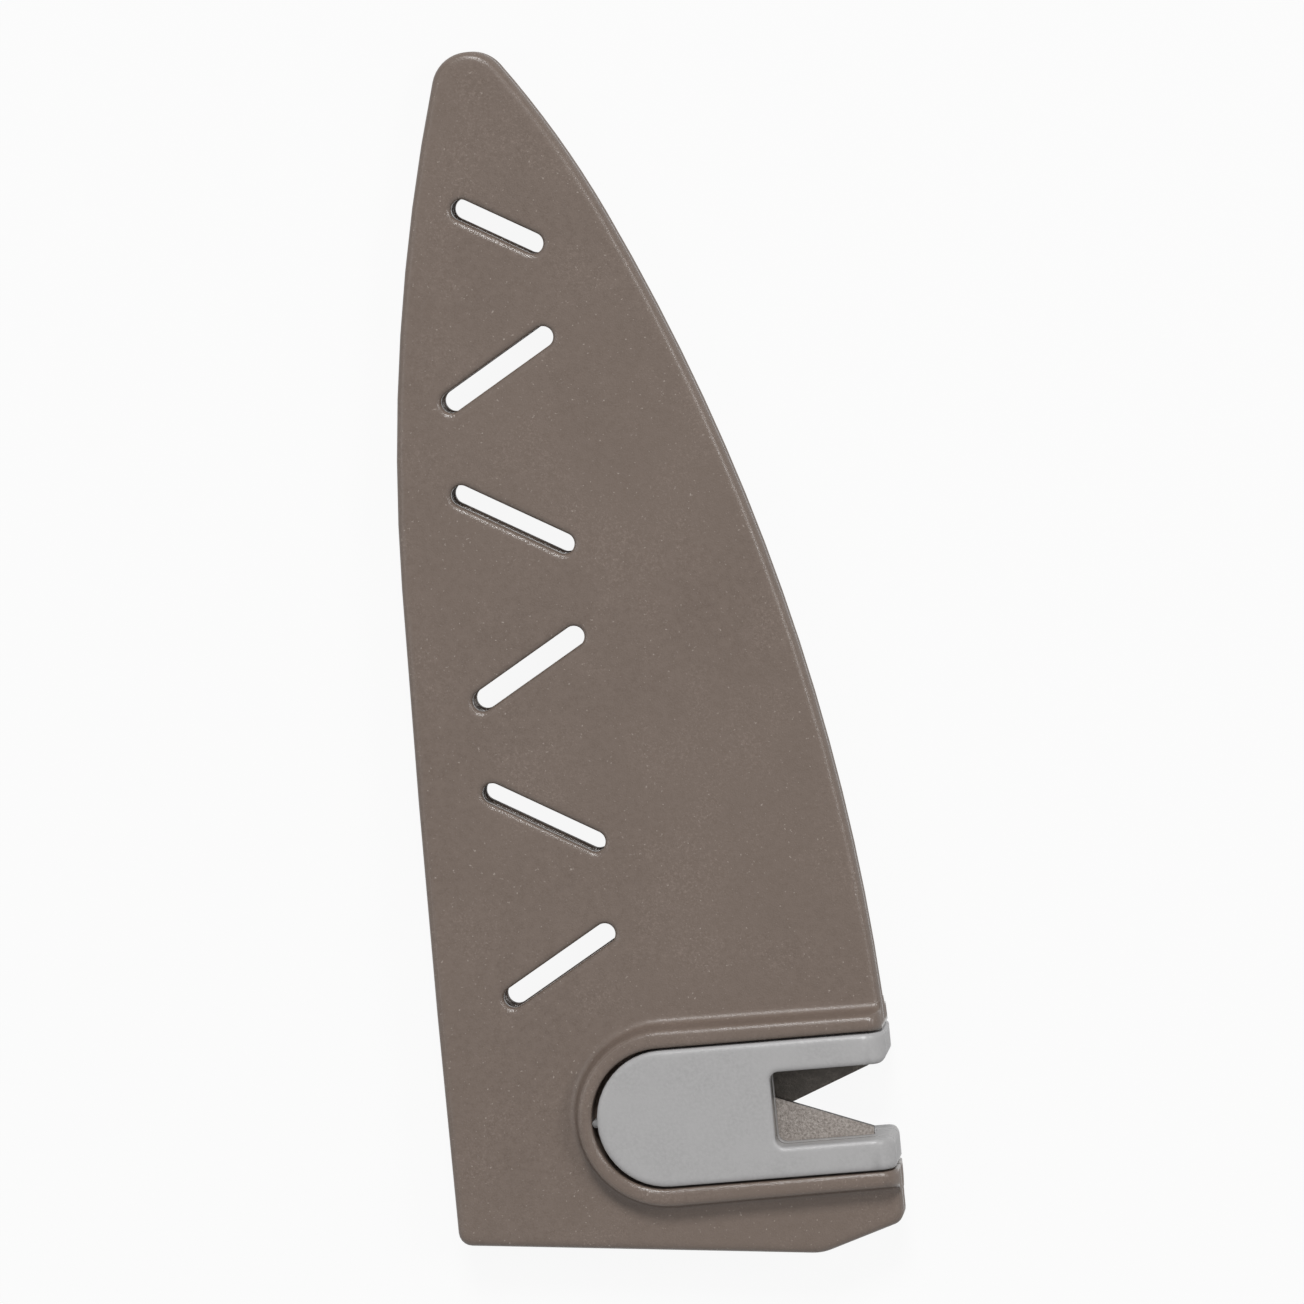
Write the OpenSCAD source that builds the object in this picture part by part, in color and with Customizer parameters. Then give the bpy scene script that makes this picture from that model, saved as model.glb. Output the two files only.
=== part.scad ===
// Knife blade guard with a built-in pull-through sharpener.
// Two moulded shells are welded face to face round a flat blade channel that opens at the
// mouth. A clip-like sharpener sits in a pocket at the heel: a front leaf and a back leaf lie
// on the guard's two faces, joined through a core block that fills a cut-out beyond the blade.
// Two trapezoid plates cross in the middle of the core and leave a V in the open notch. They
// lie in a pocket of the core that a pad on the back leaf closes.
//
// Plan: X runs from the spine to the cutting edge, Y from the mouth to the tip, Z out of the
// front face. The part is modelled about the weld plane, then laid on its back as it rests.

/* [Guard] */
// Width from the straight spine to the straight heel edge
guard_w = 50.8; // [46:0.2:70]
// Length from the mouth's spine corner to the tip
guard_l = 134.6; // [120:0.2:180]
// Thickness over both faces
guard_t = 5; // [4.2:0.1:8]
// Slant of the mouth edge, in degrees off square to the spine
mouth_slant = 5.7; // [0:0.1:12]
// Radius of the tip
tip_r = 4.2; // [4:0.1:8]
// Distance from the spine line to the tip's centre
tip_in = 14.4; // [12:0.1:20]
// Straight stretch of the spine above its corner, before it starts to draw in
spine_straight = 0.5; // [0:0.5:40]
// Radius of the spine's long lower arc, as a share of that of one arc all the way to the tip
spine_flat_share = 3.06; // [1.5:0.01:4]
// Share of that one arc's turn that the lower arc takes
spine_turn_share = 0.185; // [0.1:0.005:0.22]
// Height at which the heel edge starts to curve to the tip
edge_y = 12.4; // [4:0.2:30]
// Radius of the edge's long arc, as a share of that of one arc all the way to the tip
edge_flat_share = 1.033; // [1.01:0.001:1.06]
// Share of that one arc's turn that the long arc takes
edge_turn_share = 0.816; // [0.7:0.002:0.84]
// Rounding of the guard's outer edges
edge_r = 0.8; // [0.3:0.1:1.4]
// Radius of the spine corner at the mouth
corner_r = 1.6; // [1.5:0.1:4]
// Width of the slanting cut at the heel corner
heel_cut_w = 9.6; // [5:0.2:14]
// Rise of the heel cut, in degrees
heel_cut_angle = 17.3; // [8:0.1:30]
// Radius of the round between the heel cut and the heel edge
heel_r = 1.5; // [1.5:0.1:3]
// Radius of the round between the heel cut and the mouth
heel_low_r = 5.5; // [1.5:0.1:8]

/* [Blade channel] */
// Thickness of each face wall
wall_t = 1.3; // [1:0.1:1.8]
// Thickness of the wall round the edge
side_wall = 1.8; // [1.6:0.1:3]
// Widest blade that goes in, from its spine to its edge
blade_w = 33; // [26:0.5:33.5]
// Width of the rib that guides the blade's edge
guide_w = 1.4; // [1:0.1:2]
// Depth of the lead-in at the mouth
lead_l = 2; // [1:0.1:4]
// Widening of the lead-in on each face
lead_h = 0.5; // [0.2:0.1:0.8]
// Height at which the hollow beside the guide rib ends
hollow_top = 103; // [60:1:106]

/* [Slots] */
// Number of slots
slot_count = 6; // [1:1:6]
// Spacing of the slots along the spine
slot_pitch = 16.95; // [14:0.05:17]
// Height of the lowest slot's centre
slot_first = 31.1; // [28:0.05:32]
// Distance from the spine line to the lowest slot's centre
slot_in = 14.65; // [12:0.05:18]
// Lean of the row of slots towards the spine, in degrees
slot_lean = 0.2; // [0:0.05:1]
// Length of a slot
slot_l = 15.2; // [10:0.1:17]
// Width of a slot
slot_w = 2.4; // [1.5:0.1:3.2]
// Angle of the slots, in degrees to either side
slot_angle = 30; // [10:1:40]
// Chamfer round each slot
slot_edge = 0.25; // [0.1:0.05:0.5]
// Length taken off the last slot at its spine end
slot_trim = 3.9; // [0:0.1:6]

/* [Sharpener] */
// Height of the sharpener's axis above the spine corner of the mouth
sharp_y = 13.15; // [11.5:0.05:15]
// Distance from the spine line to the round end of the sharpener
sharp_x = 17.55; // [12:0.05:24]
// Height of the sharpener, which is twice the radius of its round end
sharp_h = 15.5; // [14.6:0.1:16.5]
// How far it stands out of each face of the guard
sharp_out = 3; // [2.6:0.1:4]
// Gap along its two long sides
side_gap = 0.3; // [0.1:0.05:0.4]
// Gap at its round end
end_gap = 0.65; // [0.4:0.05:1]
// Wall of the core between its inner end and the bottom of the notch
notch_wall = 1; // [0.8:0.05:2]
// Height of the notch
notch_h = 8.6; // [7:0.1:9]
// Radius in the corners of the notch
notch_r = 1; // [0.4:0.1:1.5]
// Radius at the arms' corners beside the notch
arm_r = 1; // [0.5:0.1:1.2]
// Radius at the arms' outer corners
arm_side_r = 0.4; // [0.3:0.05:1]
// Rounding of the arm ends, seen along the guard
arm_round = 2.6; // [1:0.1:3]
// Rounding of the leaf edges
leaf_edge = 0.3; // [0.1:0.05:0.5]
// Diameter of the pegs that join leaf, core and leaf
peg_d = 1.3; // [0.8:0.1:1.3]
// Length of a peg inside the back leaf
peg_grip = 1.6; // [1:0.1:2]
// Diameter of the catch under each leaf
catch_d = 4; // [2:0.1:6]
// Height of the catch under each leaf
catch_h = 0.5; // [0.2:0.1:0.8]
// Radius of the nib at the round end
nib_r = 0.45; // [0.2:0.05:0.5]

/* [Plates] */
// Height of a plate at its narrow end, by the arm ends
plate_end_h = 1.85; // [1.2:0.05:2.5]
// Distance from the bottom of the notch to the point of the V
v_in = 1.9; // [1:0.1:3]
// Thickness of a plate
plate_t = 0.8; // [0.6:0.1:1.1]
// Wall at the arm ends, past the plates
plate_wall = 2.5; // [2.3:0.1:4]
// How far the plates reach past the sides of the notch
plate_hide = 1; // [0.5:0.1:1.1]
// Play round a plate and a peg
play = 0.05; // [0.02:0.01:0.1]

/* [Raised rim] */
// Width of the rim's flat crest
rim_w = 1.15; // [0.8:0.05:2.5]
// Width of the rim's sloped outer side
rim_slope = 1.6; // [0.8:0.1:2.2]
// How far the rim's crest stays below the leaf's face
rim_drop = 0.2; // [0.1:0.05:0.5]
// Chamfer along the crest's inner edge
rim_edge = 0.15; // [0.05:0.05:0.3]

/* [Weld bosses] */
// Height of the lowest boss
boss_first = 30; // [29:1:34]
// Spacing of the bosses
boss_pitch = 25; // [18:1:28]
// Number of bosses
boss_count = 3; // [1:1:3]
// Diameter of a boss
boss_d = 4.4; // [3.6:0.1:5]
// Diameter of the locating pins
pin_d = 1.8; // [1.2:0.1:2]
// Length of the locating pins
pin_l = 1.4; // [1:0.1:1.5]

/* [Hidden] */
$fn = 48;
// Overrun of every cut
over = 1;
half_t = guard_t/2;
channel_h = half_t - wall_t;
sharp_r = sharp_h/2;
crest_z = half_t + sharp_out;
blade_x = side_wall + blade_w;
cut_x = blade_x + guide_w;
core_x = cut_x + side_gap;
notch_x = core_x + notch_wall;
tip_c = [tip_in, guard_l - tip_r];
sharp_c = [sharp_x + sharp_r, sharp_y];
v_x = notch_x + v_in;
plate_x = notch_x - notch_wall/2;
plate_end = guard_w - plate_wall;
plate_half = notch_h/2 + plate_hide;
// Rise of the V's sides, so that each plate keeps its height at its narrow end
v_rise = (plate_half - plate_end_h)/(plate_end - v_x);
peg_y = (plate_half + sharp_r)/2;
peg_xs = [notch_x + peg_d, (plate_end + guard_w)/2 - play];
rim_r = sharp_r + end_gap + rim_w + rim_slope;
rim_out = sharp_out - rim_drop;
nib_out = end_gap - play;
// Steps along a corner, a half round, the tip and the long arcs
corner_steps = 5;
round_steps = 24;
tip_steps = 16;
low_steps = 3;
top_steps = 8;
long_steps = 18;
// Shares of the quarter round that the outer edges follow
round_shares = [for (a = [0:22.5:90]) [1 - cos(a), sin(a)]];
// Shares of the rim's slope and height, from its filleted foot to its softened crest
rim_shares = [[0, 0], [0.17, 0.02], [0.32, 0.07], [0.43, 0.14], [0.49, 0.23], [0.69, 0.86],
    [0.74, 0.92], [0.84, 0.98], [1, 1]];

// Arcs. An outline is a list of arcs [centre, radius, first angle, last angle, steps], run
// clockwise, where the angles are those of the outward normal and a hollow arc's radius is
// negative. Insetting an outline by d only takes d off every radius.
function ring(arcs, d = 0) = [for (a = arcs) for (i = [0:a[4]])
    let (t = a[2] + (a[3] - a[2])*i/a[4]) a[0] + (a[1] - d)*[cos(t), sin(t)]];

// Where the lines p.n = m with normals at angles a and b cross
function crossing(a, m, b, n) =
    [m*sin(b) - n*sin(a), n*cos(a) - m*cos(b)]/sin(b - a);

// Radius of the arc that leaves a line square at height `bend` and meets the tip's circle
// of radius r smoothly; `a` is the distance from the line to the tip's centre
function flank_r(a, bend, r) =
    let (h = tip_c.y - bend) (a*a + h*h - r*r)/(2*(a - r));

// Angle through which that arc turns before it meets the tip's circle
function flank_turn(big, bend, r) = asin((tip_c.y - bend)/(big - r));

// Radius of the arc that goes on smoothly from the point p, where the outward normal is u,
// and meets the tip's circle
function top_r(p, u) =
    let (w = p - tip_c) (w*w - tip_r*tip_r)/(2*(w*u - tip_r));

// Direction from one centre to the tip's, which is the normal where the circles touch
function tip_angle(c) = atan2(tip_c.y - c.y, tip_c.x - c.x);

// The round at the spine corner of the mouth, and the height at which the spine draws in
mouth_n = -90 - mouth_slant;
mouth_c = crossing(180, -corner_r, mouth_n, -corner_r);
spine_y = mouth_c.y + spine_straight;

// The spine and the edge are each two arcs: a long one, then a tighter one to the tip
spine_one = flank_r(tip_in, spine_y, tip_r);
spine_turn = 180 - spine_turn_share*flank_turn(spine_one, spine_y, tip_r);
spine_r = spine_flat_share*spine_one;
spine_c = [spine_r, spine_y];
spine_u = [cos(spine_turn), sin(spine_turn)];
spine_top_r = top_r(spine_c + spine_r*spine_u, spine_u);
spine_top_c = spine_c + (spine_r - spine_top_r)*spine_u;
spine_end = tip_angle(spine_top_c);

edge_one = flank_r(guard_w - tip_in, edge_y, tip_r);
edge_turn = edge_turn_share*flank_turn(edge_one, edge_y, tip_r);
edge_arc_r = edge_flat_share*edge_one;
edge_c = [guard_w - edge_arc_r, edge_y];
edge_u = [cos(edge_turn), sin(edge_turn)];
edge_top_r = top_r(edge_c + edge_arc_r*edge_u, edge_u);
edge_top_c = edge_c + (edge_arc_r - edge_top_r)*edge_u;
edge_end = tip_angle(edge_top_c);

cut_n = heel_cut_angle - 90;
heel_cut_x = guard_w - heel_cut_w;
cut_m = [heel_cut_x, -heel_cut_x*tan(mouth_slant)]*[cos(cut_n), sin(cut_n)];
low_c = crossing(cut_n, cut_m - heel_low_r, mouth_n, -heel_low_r);
heel_c = crossing(0, guard_w - heel_r, cut_n, cut_m - heel_r);

// The guard's outline, clockwise from the spine corner of the mouth
outline = [
    [mouth_c, corner_r, 360 + mouth_n, 180, corner_steps],
    [spine_c, spine_r, 180, spine_turn, low_steps],
    [spine_top_c, spine_top_r, spine_turn, spine_end, top_steps],
    [tip_c, tip_r, spine_end, edge_end, tip_steps],
    [edge_top_c, edge_top_r, edge_end, edge_turn, top_steps],
    [edge_c, edge_arc_r, edge_turn, 0, long_steps],
    [heel_c, heel_r, 0, cut_n, corner_steps],
    [low_c, heel_low_r, cut_n, mouth_n, corner_steps]];

// The blade channel's outline: it keeps the side wall along the spine and at the tip, and
// its belly is the arc that the guide rib follows. It runs out through the mouth.
belly_tip_r = tip_r - side_wall;
belly_r = flank_r(blade_x - tip_in, edge_y, belly_tip_r);
belly_c = [blade_x - belly_r, edge_y];
belly_end = tip_angle(belly_c);
mouth_drop = guard_w*tan(mouth_slant) + over;
function channel(d) = concat(
    [[side_wall + d, -mouth_drop]],
    ring([[spine_c, spine_r - side_wall, 180, spine_turn, low_steps],
        [spine_top_c, spine_top_r - side_wall, spine_turn, spine_end, top_steps],
        [tip_c, belly_tip_r, spine_end, belly_end, tip_steps],
        [belly_c, belly_r, belly_end, 0, long_steps]], d),
    [[blade_x - d, -mouth_drop]]);

function arc_x(c, r, y) = c.x + sqrt(r*r - pow(max(y - c.y, 0), 2));

// The open end that leaves and core share, clockwise: two arms and the notch between them
notch_arcs = [
    [[guard_w - arm_side_r, sharp_y + sharp_r - arm_side_r], arm_side_r, 90, 0, corner_steps],
    [[guard_w - arm_r, sharp_y + notch_h/2 + arm_r], arm_r, 0, -90, corner_steps],
    [[notch_x + notch_r, sharp_y + notch_h/2 - notch_r], -notch_r, -90, 0, corner_steps],
    [[notch_x + notch_r, sharp_y - notch_h/2 + notch_r], -notch_r, 0, 90, corner_steps],
    [[guard_w - arm_r, sharp_y - notch_h/2 - arm_r], arm_r, 90, 0, corner_steps],
    [[guard_w - arm_side_r, sharp_y - sharp_r + arm_side_r], arm_side_r, 0, -90, corner_steps]];
leaf_outline = concat([[sharp_c, sharp_r, 270, 90, round_steps]], notch_arcs);
leaf_last = len(ring(leaf_outline)) - 1;
leaf_mid = (round_steps + leaf_last)/2;
leaf_cap = [
    concat([for (k = [0:round_steps]) k], [leaf_mid, leaf_mid + 1]),
    [for (k = [round_steps:leaf_mid]) k],
    concat([0], [for (k = [leaf_mid + 1:leaf_last]) k])];
core_r = min(notch_r, notch_wall);
core_outline = concat([
    [[core_x + core_r, sharp_y - sharp_r + core_r], core_r, 270, 180, corner_steps],
    [[core_x + core_r, sharp_y + sharp_r - core_r], core_r, 180, 90, corner_steps]], notch_arcs);

// Resting place. The guard lies on the far edge of its back leaf and on its tip.
rest_y = sharp_y + sharp_r - leaf_edge;
rest_tilt = atan(sharp_out/(guard_l - edge_r - rest_y));
rest_z = rest_y*sin(rest_tilt) + crest_z*cos(rest_tilt);
low_y = (low_c.y - heel_low_r + edge_r)*cos(rest_tilt) - (half_t - edge_r)*sin(rest_tilt) - edge_r;
high_y = (guard_l - edge_r)*cos(rest_tilt) + (half_t - edge_r)*sin(rest_tilt) + edge_r;

module lie_down()
    translate([-guard_w/2, -(low_y + high_y)/2, rest_z])
        rotate([-rest_tilt, 0, 0])
            children();

// Solid between rings: `rows` lists [inset, height] from the bottom up. A hollow outline gives
// its cap as several faces, each seen whole from its first point.
module loft(arcs, rows, cap = []) {
    rings = [for (r = rows) [for (p = ring(arcs, r[0])) [p.x, p.y, r[1]]]];
    n = len(rings[0]);
    m = len(rings);
    sides = [for (j = [0:m - 2]) for (k = [0:n - 1])
        let (a = j*n + k, b = j*n + (k + 1)%n)
        each [[a, b, b + n], [a, b + n, a + n]]];
    top = len(cap) == 0 ? [[for (k = [0:n - 1]) k]] : cap;
    lids = [for (f = top) for (i = [1:len(f) - 2])
        each [[f[0], f[i + 1], f[i]], (m - 1)*[n, n, n] + [f[0], f[i], f[i + 1]]]];
    polyhedron([for (r = rings) each r], concat(sides, lids));
}

module prism(points, z0, z1)
    translate([0, 0, z0])
        linear_extrude(z1 - z0)
            polygon(points);

// Bar of length l and width w with round ends, centred, from z0 up to z1
module bar(l, w, z0, z1) {
    translate([-(l - w)/2, -w/2, z0])
        cube([l - w, w, z1 - z0]);
    for (s = [-1, 1])
        translate([s*(l - w)/2, 0, z0])
            cylinder(d = w, h = z1 - z0);
}

// The same bar, widening by e all round from z0 up to z1
module flared_bar(l, w, e, z0, z1) {
    h = z1 - z0;
    translate([-(l - w)/2, 0, z0])
        rotate([90, 0, 90])
            linear_extrude(l - w)
                polygon([[-w/2, 0], [w/2, 0], [w/2 + e, h], [-w/2 - e, h]]);
    for (s = [-1, 1])
        translate([s*(l - w)/2, 0, z0])
            cylinder(d1 = w, d2 = w + 2*e, h = h);
}

// Slots, zig-zag up the spine side. The last one is short at its spine end.
module slots() {
    for (i = [0:slot_count - 1]) {
        trim = i == slot_count - 1 ? slot_trim : 0;
        translate([slot_in - i*slot_pitch*tan(slot_lean), slot_first + i*slot_pitch, 0])
            rotate(i%2 == 0 ? slot_angle : -slot_angle)
                translate([trim/2, 0, 0]) {
                    bar(slot_l - trim, slot_w, -over, half_t + over);
                    flared_bar(slot_l - trim, slot_w, 2*slot_edge, half_t - slot_edge,
                        half_t + slot_edge);
                }
    }
}

// One moulded half with its face up: outer form, raised rim, and the hollows behind the face
module shell_body() {
    loft(outline, concat([[0, 0]], [for (s = round_shares)
        [edge_r*s[0], half_t - edge_r + edge_r*s[1]]]));
    rim();
}

module rim_outline_loft() {
    far = guard_w + rim_r;
    arcs = [
        [sharp_c, rim_r, 270, 90, round_steps],
        [[far, sharp_y], rim_r - end_gap + side_gap, 90, 0, low_steps],
        [[far, sharp_y], rim_r - end_gap + side_gap, 0, -90, low_steps]];
    foot = half_t - edge_r;
    loft(arcs, concat([[0, foot]], [for (s = rim_shares)
        [rim_slope*s[0], half_t + rim_out*s[1]]]));
}

// What the rounding of the arm ends takes off, as seen along the guard
module end_cut() {
    arc = [for (a = [0:10:90])
        [guard_w - arm_round + arm_round*cos(a), crest_z - arm_round + arm_round*sin(a)]];
    rotate([90, 0, 0])
        mirror([0, 0, 1])
            linear_extrude(guard_l)
                polygon(concat(arc, [
                    [guard_w - arm_round, crest_z + over],
                    [guard_w + over, crest_z + over],
                    [guard_w + over, crest_z - arm_round]]));
}

module rim()
    difference() {
        intersection() {
            rim_outline_loft();
            prism(ring(outline), 0, crest_z + over);
        }
        end_cut();
    }

// Pocket for a leaf, inside the rim, and the cut-out for the core
module pocket() {
    r = sharp_r + side_gap;
    left = sharp_c.x - end_gap + side_gap;
    translate([left, sharp_y, half_t])
        cylinder(r = r, h = sharp_out + over);
    translate([left, sharp_y - r, half_t])
        cube([guard_w, 2*r, sharp_out + over]);
    translate([cut_x, sharp_y - r, -over])
        cube([guard_w, 2*r, crest_z + 2*over]);
    translate([left + guard_w, sharp_y, 0])
        flared_bar(2*(guard_w + r), 2*r, 2*rim_edge, half_t + rim_out - rim_edge,
            half_t + rim_out + rim_edge);
}

// Recess for the catch under a leaf
module catch_recess()
    translate([sharp_c.x, sharp_c.y, half_t - catch_h - play])
        cylinder(d = catch_d + 2*play, h = catch_h + over);

// Lead-in that widens the channel at the mouth
module lead_in()
    rotate([0, 0, -mouth_slant])
        translate([side_wall, 0, 0])
            rotate([90, 0, 90])
                linear_extrude(blade_w)
                    polygon([[-over, 0], [-over, channel_h + lead_h*(1 + over/lead_l)],
                        [lead_l, channel_h], [lead_l, 0]]);

function boss_at(i) =
    let (y = boss_first + i*boss_pitch)
    [(arc_x(belly_c, belly_r + guide_w, y) + arc_x(edge_c, edge_arc_r - side_wall, y))/2, y];

// Hollow between the guide rib and the outer wall, with the weld bosses left standing
module side_hollow() {
    floor_y = sharp_y + sharp_r + side_gap + side_wall;
    difference() {
        prism(ring(outline, side_wall), -over, channel_h);
        prism(channel(-guide_w), -2*over, channel_h + over);
        translate([0, floor_y - guard_l, -2*over])
            cube([guard_w, guard_l, half_t + 2*over]);
        translate([0, hollow_top, -2*over])
            cube([guard_w, guard_l, half_t + 2*over]);
        for (i = [0:boss_count - 1])
            translate([boss_at(i).x, boss_at(i).y, -2*over])
                cylinder(d = boss_d, h = half_t + 2*over);
    }
}

module half_shell()
    difference() {
        shell_body();
        prism(channel(0), -over, channel_h);
        lead_in();
        side_hollow();
        slots();
        pocket();
        catch_recess();
    }

module locating_pins(d, l)
    for (i = [0:boss_count - 1])
        translate([boss_at(i).x, boss_at(i).y, -l])
            cylinder(d = d, h = l + wall_t);

module front_shell()
    color("#746961") lie_down() {
        half_shell();
        locating_pins(pin_d, pin_l);
    }

module back_shell()
    color("#746961") lie_down()
        difference() {
            mirror([0, 0, 1])
                half_shell();
            locating_pins(pin_d + 2*play, pin_l + play);
        }

// A leaf with its outer face up: softened edges, rounded arm ends, catch and end nib
module leaf() {
    difference() {
        loft(leaf_outline, concat([[0, half_t]], [for (s = round_shares)
            [leaf_edge*s[0], crest_z - leaf_edge + leaf_edge*s[1]]]), leaf_cap);
        end_cut();
    }
    translate([sharp_c.x, sharp_c.y, half_t - catch_h])
        cylinder(d = catch_d, h = catch_h + sharp_out/2);
    translate([sharp_x - nib_out + nib_r, sharp_y, half_t])
        cylinder(r = nib_r, h = sharp_out - 2*leaf_edge);
}

module pegs(d, z0, z1)
    for (x = peg_xs)
        for (s = [-1, 1])
            translate([x, sharp_y + s*peg_y, z0])
                cylinder(d = d, h = z1 - z0);

module sharpener_front()
    color("#a6a6a6") lie_down() {
        leaf();
        pegs(peg_d, -half_t - peg_grip, half_t + sharp_out/2);
    }

// Block over the plates' field, d larger all round
module plate_field(d, z0, z1)
    translate([plate_x - d, sharp_y - plate_half - d, z0])
        cube([plate_end - plate_x + 2*d, 2*(plate_half + d), z1 - z0]);

module sharpener_core()
    color("#9c9c9a") lie_down()
        difference() {
            prism(ring(core_outline), -half_t, half_t);
            plate_field(play, -half_t - over, plate_t);
            pegs(peg_d + 2*play, -half_t - over, half_t + over);
        }

module sharpener_back()
    color("#a6a6a6") lie_down() {
        difference() {
            mirror([0, 0, 1])
                leaf();
            pegs(peg_d + 2*play, -half_t - peg_grip - play, -half_t + over);
        }
        intersection() {
            prism(ring(core_outline), -crest_z, half_t);
            plate_field(0, -half_t - sharp_out/2, -plate_t - play);
        }
    }

// Trapezoid plate: its slanting edge lies on the V and its square edge in the core
module plate(side, z0)
    prism([for (p = [
        [plate_x, (v_x - plate_x)*v_rise],
        [plate_end, plate_end_h - plate_half],
        [plate_end, -plate_half],
        [plate_x, -plate_half]])
        [p.x, sharp_y + side*p.y]], z0, z0 + plate_t);

module lower_plate()
    color("#8b857f") lie_down()
        plate(1, 0);

module upper_plate()
    color("#5f5a55") lie_down()
        plate(-1, -plate_t);

front_shell();
back_shell();
sharpener_front();
sharpener_core();
sharpener_back();
lower_plate();
upper_plate();
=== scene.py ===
# %% [markdown]
# # A knife blade guard with a built-in sharpener
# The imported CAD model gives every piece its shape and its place. This lesson adds what makes it
# look real: moulded plastic with a grain, ground carbide, soft light, and the photograph's view.

# %% Load the frame
import math

import bmesh
import bpy
import numpy as np
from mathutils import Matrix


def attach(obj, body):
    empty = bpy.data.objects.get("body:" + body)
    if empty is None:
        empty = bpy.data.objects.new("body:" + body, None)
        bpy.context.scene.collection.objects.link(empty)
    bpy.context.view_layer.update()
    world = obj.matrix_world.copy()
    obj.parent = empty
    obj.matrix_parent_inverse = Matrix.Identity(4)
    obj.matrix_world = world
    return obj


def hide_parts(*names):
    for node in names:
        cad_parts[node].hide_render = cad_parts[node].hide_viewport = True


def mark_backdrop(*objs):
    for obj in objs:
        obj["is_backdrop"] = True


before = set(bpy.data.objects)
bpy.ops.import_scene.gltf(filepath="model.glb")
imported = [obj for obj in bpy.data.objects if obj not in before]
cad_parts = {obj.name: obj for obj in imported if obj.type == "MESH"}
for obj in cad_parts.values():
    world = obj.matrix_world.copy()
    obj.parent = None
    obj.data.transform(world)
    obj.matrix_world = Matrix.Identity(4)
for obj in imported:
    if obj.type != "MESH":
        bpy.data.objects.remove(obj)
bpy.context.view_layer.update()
print("nodes:", sorted(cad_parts))

# %% [markdown]
# ## The view
# The guard lies on its back, so the photograph's view is almost straight down on it. A long
# lens from 0.8 m keeps the outline nearly free of perspective. The camera stands a little to
# the edge side and towards the tip, which is why the notch shows its lower wall. Its place and
# its turn were solved from points that can be named in both pictures: the slots' centres, the
# outline, the round end of the sharpener and the point of the V. Place is in metres, turn in
# degrees, and the focal length is in pixels of the photograph.

# %% The camera
IMAGE_SIDE = 1304
FOCAL_PIXELS = 7092.8
SENSOR_WIDTH = 36.0
CAMERA_PLACE = (0.09946, 0.09214, 0.79294)
CAMERA_TURN = (-7.28, 6.259, -5.877)

lens = bpy.data.cameras.new("photo_lens")
lens.sensor_width = SENSOR_WIDTH
lens.lens = SENSOR_WIDTH*FOCAL_PIXELS/IMAGE_SIDE
lens.clip_start = 0.05
lens.clip_end = 20.0
camera = bpy.data.objects.new("photo_camera", lens)
camera.location = CAMERA_PLACE
camera.rotation_euler = [math.radians(a) for a in CAMERA_TURN]
bpy.context.scene.collection.objects.link(camera)
bpy.context.scene.camera = camera
print("lens in mm:", round(lens.lens, 1))

# %% [markdown]
# ## Materials from nodes
# Every finish here is built the same way. Object coordinates are metres on the piece itself,
# so a noise of scale 1000 has grains of about a millimetre. `grain` reads such a noise between
# two limits, which picks the part of it that is wanted, and `mix_colours` lays a colour on that
# part. A value that is the same all over is typed on the shader's own socket.

# %% Helpers for node trees
def new_finish(name, roughness, metallic=0.0, specular=0.5):
    """A material with a Principled shader and Object coordinates, ready for links."""
    finish = bpy.data.materials.new(name)
    finish.use_nodes = True
    tree = finish.node_tree
    shader = tree.nodes["Principled BSDF"]
    shader.inputs["Roughness"].default_value = roughness
    shader.inputs["Metallic"].default_value = metallic
    shader.inputs["Specular IOR Level"].default_value = specular
    place = tree.nodes.new("ShaderNodeTexCoord").outputs["Object"]
    return finish, tree, shader, place


def read_between(tree, value, low, high):
    """A node that reads a socket as 0 below low, 1 above high and a straight line between."""
    spread = tree.nodes.new("ShaderNodeMapRange")
    spread.inputs["From Min"].default_value = low
    spread.inputs["From Max"].default_value = high
    tree.links.new(value, spread.inputs["Value"])
    return spread


def grain(tree, place, scale, low, high, detail=3.0, rough=0.6):
    """A noise of that scale, read between low and high."""
    noise = tree.nodes.new("ShaderNodeTexNoise")
    noise.inputs["Scale"].default_value = scale
    noise.inputs["Detail"].default_value = detail
    noise.inputs["Roughness"].default_value = rough
    tree.links.new(place, noise.inputs["Vector"])
    return read_between(tree, noise.outputs["Fac"], low, high).outputs["Result"]


def combine(tree, operation, first, second=None):
    """The result of a Math node on one socket or two."""
    node = tree.nodes.new("ShaderNodeMath")
    node.operation = operation
    tree.links.new(first, node.inputs[0])
    if second is not None:
        tree.links.new(second, node.inputs[1])
    return node.outputs["Value"]


def mix_colours(tree, share, first, second):
    """first where share is 0, second where it is 1; each is a colour or a socket."""
    mix = tree.nodes.new("ShaderNodeMix")
    mix.data_type = "RGBA"
    tree.links.new(share, mix.inputs["Factor"])
    for socket, colour in ((mix.inputs["A"], first), (mix.inputs["B"], second)):
        if isinstance(colour, bpy.types.NodeSocket):
            tree.links.new(colour, socket)
        else:
            socket.default_value = (*colour, 1.0)
    return mix.outputs["Result"]


def raise_grain(tree, shader, height, strength, depth):
    """Bumps the shader's normal by a height socket; depth is the grain's depth in metres."""
    bump = tree.nodes.new("ShaderNodeBump")
    bump.inputs["Strength"].default_value = strength
    bump.inputs["Distance"].default_value = depth
    tree.links.new(height, bump.inputs["Height"])
    tree.links.new(bump.outputs["Normal"], shader.inputs["Normal"])
    return bump


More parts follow.
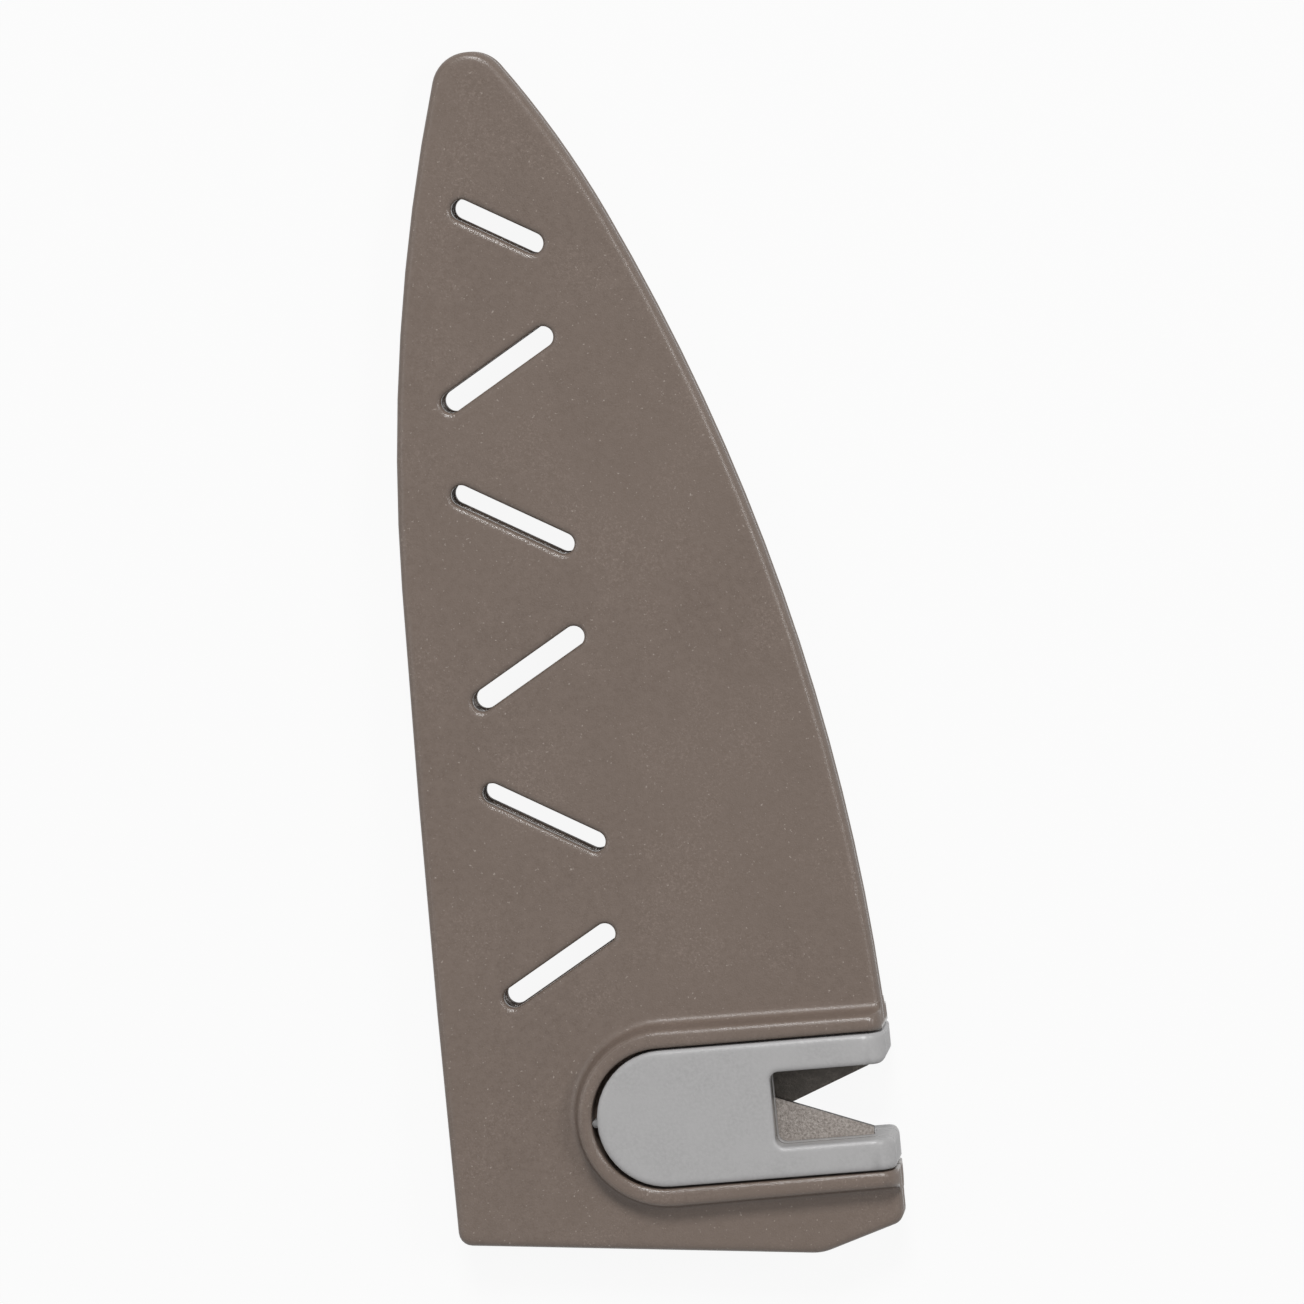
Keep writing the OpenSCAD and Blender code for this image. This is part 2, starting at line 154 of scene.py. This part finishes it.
def srgb(red, green, blue):
    """Linear values of a colour given in screen values 0 to 255, by the sRGB curve."""
    c = np.array([red, green, blue])/255.0
    return tuple(float(v) for v in np.where(c <= 0.04045, c/12.92, ((c + 0.055)/1.055)**2.4))


print("grey 128 in linear light:", round(srgb(128, 128, 128)[0], 3))

# %% [markdown]
# ## Edges that catch the light
# A moulded edge is never sharp, and the eye finds it by the thin bright line along it. The CAD
# has the main rounds. Wider ones in the mesh would change the form, so a Bevel node carries
# them a little further into the faces and turns only the normals. The roughness follows the
# form too: edges wear smooth, flat faces keep the shader's own value, and the upright walls
# are dull, because the mould drags along them when it opens.

# %% Soft edges
EDGE_SAMPLES = 16
EDGE_COSINE = (0.93, 0.995)
WALL_HEIGHT = (0.2, 0.6)


def soften_edges(tree, shader, bump, radius, edge_roughness, wall_roughness):
    """Turns the normals near an edge as if it were a round of that radius, in metres.

    The roughness runs from edge_roughness, where the cosine between the turned and the true
    normal is EDGE_COSINE[0] or less, to the face's own at EDGE_COSINE[1]. The face's own is
    wall_roughness where the true normal's height is under WALL_HEIGHT[0], and the value typed
    on the shader where it is over WALL_HEIGHT[1].
    """
    soft = tree.nodes.new("ShaderNodeBevel")
    soft.samples = EDGE_SAMPLES
    soft.inputs["Radius"].default_value = radius
    tree.links.new(soft.outputs["Normal"], bump.inputs["Normal"])
    true_normal = tree.nodes.new("ShaderNodeNewGeometry").outputs["True Normal"]

    parts = tree.nodes.new("ShaderNodeSeparateXYZ")
    tree.links.new(true_normal, parts.inputs["Vector"])
    height = combine(tree, "ABSOLUTE", parts.outputs["Z"])
    own = read_between(tree, height, *WALL_HEIGHT)
    own.inputs["To Min"].default_value = wall_roughness
    own.inputs["To Max"].default_value = shader.inputs["Roughness"].default_value

    cosine = tree.nodes.new("ShaderNodeVectorMath")
    cosine.operation = "DOT_PRODUCT"
    tree.links.new(soft.outputs["Normal"], cosine.inputs[0])
    tree.links.new(true_normal, cosine.inputs[1])
    roughness = read_between(tree, cosine.outputs["Value"], *EDGE_COSINE)
    roughness.inputs["To Min"].default_value = edge_roughness
    tree.links.new(own.outputs["Result"], roughness.inputs["To Max"])
    tree.links.new(roughness.outputs["Result"], shader.inputs["Roughness"])


full_polish = math.degrees(math.acos(EDGE_COSINE[0]))
print("edges have their full polish from a turn of", round(full_polish, 1), "degrees")

# %% [markdown]
# ## The taupe plastic
# The guard is injection-moulded plastic with the matt skin of a textured mould. The photograph
# shows slow clouds of lighter and darker pigment, a mottle of about a millimetre, a grain of a
# fifth of a millimetre, and light dust that gathers in patches. Here and there a bright speck
# is painted into the colour as well: these are painted glints, where the grain catches the light.
# A picture of plastic would show seams and go soft from near, so each of these is a noise laid
# over the one before, and a second noise holds the dust to its patches. The grain also raises
# the skin.

# %% Guard plastic
def make_guard_plastic():
    """Clouds, mottle, fine grain, painted glints, and dust where it meets the patches."""
    finish, tree, shader, place = new_finish("guard_plastic", roughness=0.32, specular=0.5)
    clouds = grain(tree, place, scale=45.0, low=0.3, high=0.7, detail=2.0)
    tone = mix_colours(tree, clouds, srgb(93, 79, 70), srgb(104, 90, 80))
    mottle = grain(tree, place, scale=1100.0, low=0.4, high=0.62, detail=4.0, rough=0.7)
    tone = mix_colours(tree, mottle, tone, srgb(109, 95, 86))
    fine = grain(tree, place, scale=5000.0, low=0.25, high=0.75, detail=2.0)
    tone = mix_colours(tree, fine, tone, srgb(110, 97, 88))
    # painted glints: sparse bright specks in the colour stand for the grain catching the key
    # light
    painted_glints = grain(tree, place, scale=2900.0, low=0.7, high=0.8, detail=1.0)
    tone = mix_colours(tree, painted_glints, tone, srgb(150, 139, 131))
    patches = grain(tree, place, scale=110.0, low=0.45, high=0.65, detail=2.0)
    dust = grain(tree, place, scale=3300.0, low=0.5, high=0.72, detail=3.0, rough=0.7)
    dusted = combine(tree, "MULTIPLY", patches, dust)
    tone = mix_colours(tree, dusted, tone, srgb(126, 112, 103))
    tree.links.new(tone, shader.inputs["Base Color"])
    bump = raise_grain(tree, shader, fine, strength=1.0, depth=0.000016)
    soften_edges(tree, shader, bump, radius=0.0011, edge_roughness=0.16, wall_roughness=0.65)
    return finish


guard_plastic = make_guard_plastic()
print("made", guard_plastic.name)

# %% [markdown]
# ## The grey plastic
# The sharpener's mouldings have a smoother, satin skin, with hardly any pigment clouds, so
# their soft highlights tell the shape. The same recipe with two faint layers is enough, and it
# keeps the large leaf from looking like a flat patch.

# %% Sharpener plastic
def make_sharpener_plastic():
    """Faint clouds and a fine grain, which also raises the skin a little."""
    finish, tree, shader, place = new_finish("sharpener_plastic", roughness=0.38, specular=0.45)
    clouds = grain(tree, place, scale=220.0, low=0.3, high=0.7)
    tone = mix_colours(tree, clouds, srgb(159, 158, 158), srgb(167, 166, 166))
    fine = grain(tree, place, scale=2600.0, low=0.35, high=0.65)
    tone = mix_colours(tree, fine, tone, srgb(168, 167, 167))
    tree.links.new(tone, shader.inputs["Base Color"])
    bump = raise_grain(tree, shader, fine, strength=0.25, depth=0.00002)
    soften_edges(tree, shader, bump, radius=0.0011, edge_roughness=0.24, wall_roughness=0.55)
    return finish


sharpener_plastic = make_sharpener_plastic()
print("made", sharpener_plastic.name)

# %% [markdown]
# ## The carbide
# The plates are sintered tungsten carbide, ground on their faces. The grains show as a dull
# speckle between warm grey and brown, and the metal binder gives a weak gloss. The rear plate
# gets a darker copy with blotches, which is painted shade: it stands for the shadow that the
# upper arm casts on it, deeper in the notch. The narrow sides get a darker copy still. One
# function makes all three, so that they read as one material.

# %% Carbide
def make_carbide(name, dark, light, blotched=True):
    """A speckle from dark to light, with blotches of dark over it where they are wanted."""
    finish, tree, shader, place = new_finish(name, roughness=0.5, metallic=0.35, specular=0.5)
    grains = grain(tree, place, scale=3600.0, low=0.35, high=0.65, detail=5.0, rough=0.75)
    tone = mix_colours(tree, grains, dark, light)
    if blotched:
        blotches = grain(tree, place, scale=900.0, low=0.35, high=0.65, detail=2.0)
        tone = mix_colours(tree, blotches, tone, dark)
    tree.links.new(tone, shader.inputs["Base Color"])
    raise_grain(tree, shader, grains, strength=0.6, depth=0.00004)
    return finish


carbide_front = make_carbide(
    "carbide_front", srgb(114, 106, 100), srgb(167, 160, 154), blotched=False)
# painted shade: this darker copy stands for the upper arm's shadow on the rear plate
carbide_painted_shade = make_carbide("carbide_painted_shade", srgb(66, 61, 56), srgb(92, 86, 80))
carbide_side = make_carbide("carbide_side", srgb(42, 39, 36), srgb(62, 58, 54))
print("made", carbide_front.name, carbide_painted_shade.name, "and", carbide_side.name)

# %% [markdown]
# ## Smooth skins over the pieces
# The CAD meshes are exact, but each is loose triangles, so every facet of a round shades by
# itself. Each piece gets a welded copy: doubled corners become one, triangles that lie in one
# plane join to one face, and the shading runs smooth over each round and breaks only where the
# real part has an edge. Weighted normals keep the large flat faces flat. The form stays as it
# is, to two hundredths of a millimetre.

# %% Weld and smooth
SAME_POINT = 2e-6
ONE_PLANE = math.radians(0.3)
REAL_EDGE = math.radians(38.0)


def smooth_skin(node_name, finish):
    """A welded copy of a CAD node, sharp only where faces meet at more than REAL_EDGE."""
    shape = bmesh.new()
    shape.from_mesh(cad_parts[node_name].data)
    bmesh.ops.remove_doubles(shape, verts=shape.verts, dist=SAME_POINT)
    bmesh.ops.dissolve_limit(shape, angle_limit=ONE_PLANE, verts=shape.verts, edges=shape.edges)
    mesh = bpy.data.meshes.new(node_name + "_skin")
    shape.to_mesh(mesh)
    open_edges = sum(not e.is_manifold for e in shape.edges)
    shape.free()
    mesh.shade_smooth()
    mesh.set_sharp_from_angle(angle=REAL_EDGE)
    mesh.materials.append(finish)
    skin = bpy.data.objects.new(node_name + "_skin", mesh)
    bpy.context.scene.collection.objects.link(skin)
    even = skin.modifiers.new("even_normals", "WEIGHTED_NORMAL")
    even.keep_sharp = True
    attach(skin, "root")
    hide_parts(node_name)
    print(skin.name, "faces:", len(mesh.polygons), "open edges:", open_edges)
    return skin


for node_name in ("front_shell", "back_shell"):
    smooth_skin(node_name, guard_plastic)
for node_name in ("sharpener_front", "sharpener_core", "sharpener_back"):
    smooth_skin(node_name, sharpener_plastic)

# %% [markdown]
# A plate's narrow sides get a darker finish than its face, as the photograph shows along the V.
# The plates lie nearly flat, so a face whose normal lies low is a side.

# %% Dark sides on the plates
SIDE_HEIGHT = 0.5

# the upper plate takes the darker copy, painted shade for the upper arm's shadow
for node_name, finish in (("lower_plate", carbide_front), ("upper_plate", carbide_painted_shade)):
    plate = smooth_skin(node_name, finish)
    plate.data.materials.append(carbide_side)
    for face in plate.data.polygons:
        face.material_index = int(abs(face.normal.z) < SIDE_HEIGHT)
    sides = sum(face.material_index for face in plate.data.polygons)
    print(plate.name, "has", sides, "dark side faces")

# %% [markdown]
# ## Floor and backdrop
# The photograph has a white ground. The floor is a wide disc of white card. For rays that come
# from the camera, from gloss or through glass, most of its brightness is an emission of
# strength 1, and the rest is light that it really reflects, so the guard still leaves a soft
# shadow. All other rays meet plain diffuse card, so the white shows in gloss but adds no
# diffuse light. The world works the same way: white to the eye, and a weak grey where it lights
# the object.

# %% White floor and world
FLOOR_CORNERS = 96
CARD_GREY = 0.6
CARD_ROUGHNESS = 0.9


def seen_rays(tree):
    """1 for rays from the camera, from gloss and through glass, else 0."""
    path = tree.nodes.new("ShaderNodeLightPath").outputs
    seen = combine(tree, "MAXIMUM", path["Is Camera Ray"], path["Is Glossy Ray"])
    return combine(tree, "MAXIMUM", seen, path["Is Transmission Ray"])


def make_card(glow_share):
    """Diffuse card that glows with strength 1 by glow_share for seen rays."""
    card = bpy.data.materials.new("white_card")
    card.use_nodes = True
    tree = card.node_tree
    shader = tree.nodes["Principled BSDF"]
    shader.inputs["Base Color"].default_value = (CARD_GREY, CARD_GREY, CARD_GREY, 1.0)
    shader.inputs["Roughness"].default_value = CARD_ROUGHNESS
    glow = tree.nodes.new("ShaderNodeEmission")
    share = read_between(tree, seen_rays(tree), 0.0, 1.0)
    share.inputs["To Max"].default_value = glow_share
    mix = tree.nodes.new("ShaderNodeMixShader")
    tree.links.new(share.outputs["Result"], mix.inputs["Fac"])
    tree.links.new(shader.outputs["BSDF"], mix.inputs[1])
    tree.links.new(glow.outputs["Emission"], mix.inputs[2])
    tree.links.new(mix.outputs["Shader"], tree.nodes["Material Output"].inputs["Surface"])
    return card


def make_floor(radius, glow_share):
    """A disc at z = 0: the points radius*(cos t, sin t) for t once round, as one face."""
    t = np.linspace(0.0, 2.0*np.pi, FLOOR_CORNERS, endpoint=False)
    points = np.stack([radius*np.cos(t), radius*np.sin(t), 0.0*t], axis=1)
    mesh = bpy.data.meshes.new("floor")
    mesh.from_pydata(points.tolist(), [], [list(range(len(points)))])
    mesh.materials.append(make_card(glow_share))
    floor = bpy.data.objects.new("floor", mesh)
    bpy.context.scene.collection.objects.link(floor)
    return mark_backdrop(floor)


def make_world(fill):
    """White for seen rays, and a grey of strength fill that lights the object from all sides."""
    world = bpy.data.worlds.new("studio")
    world.use_nodes = True
    tree = world.node_tree
    back = tree.nodes["Background"]
    strength = read_between(tree, seen_rays(tree), 0.0, 1.0)
    strength.inputs["To Min"].default_value = fill
    back.inputs["Color"].default_value = (1.0, 1.0, 1.0, 1.0)
    tree.links.new(strength.outputs["Result"], back.inputs["Strength"])
    bpy.context.scene.world = world


make_floor(radius=3.0, glow_share=0.92)
make_world(fill=0.28)
print("floor and world made")

# %% [markdown]
# ## Light
# The slopes that face the tip are bright in the photograph and those that face the mouth are
# dark, so the key light is a large soft box far beyond the tip, where its light is even along
# the guard. A smaller one on the edge side draws the line along the belly, and a weak one on
# the spine side keeps that side from going black.

# %% Lamps
SOFT_BOXES = (
    ("key_box", (0.2, 1.8, 2.0), 0.7, 46.5),
    ("edge_box", (0.95, 0.3, 1.0), 0.4, 4.6),
    ("spine_box", (-0.9, 0.1, 1.0), 0.4, 1.3),
)


def soft_box(name, place, side, power):
    """A square area lamp that faces the origin; place and side in metres, power in watts.

    A lamp shines down its own Z axis. It is tipped by the angle between straight down and
    the aim, then turned about the upright to the side that the aim goes to.
    """
    lamp = bpy.data.lights.new(name, "AREA")
    lamp.shape = "SQUARE"
    lamp.size = side
    lamp.energy = power
    holder = bpy.data.objects.new(name, lamp)
    bpy.context.scene.collection.objects.link(holder)
    aim = -np.array(place)
    flat = math.hypot(aim[0], aim[1])
    holder.location = place
    holder.rotation_euler = (math.atan2(flat, -aim[2]), 0.0, math.atan2(-aim[0], aim[1]))
    return holder


for name, place, side, power in SOFT_BOXES:
    lamp_holder = soft_box(name, place, side, power)
    print(lamp_holder.name, "at", place)
bpy.context.scene.view_settings.view_transform = "Standard"
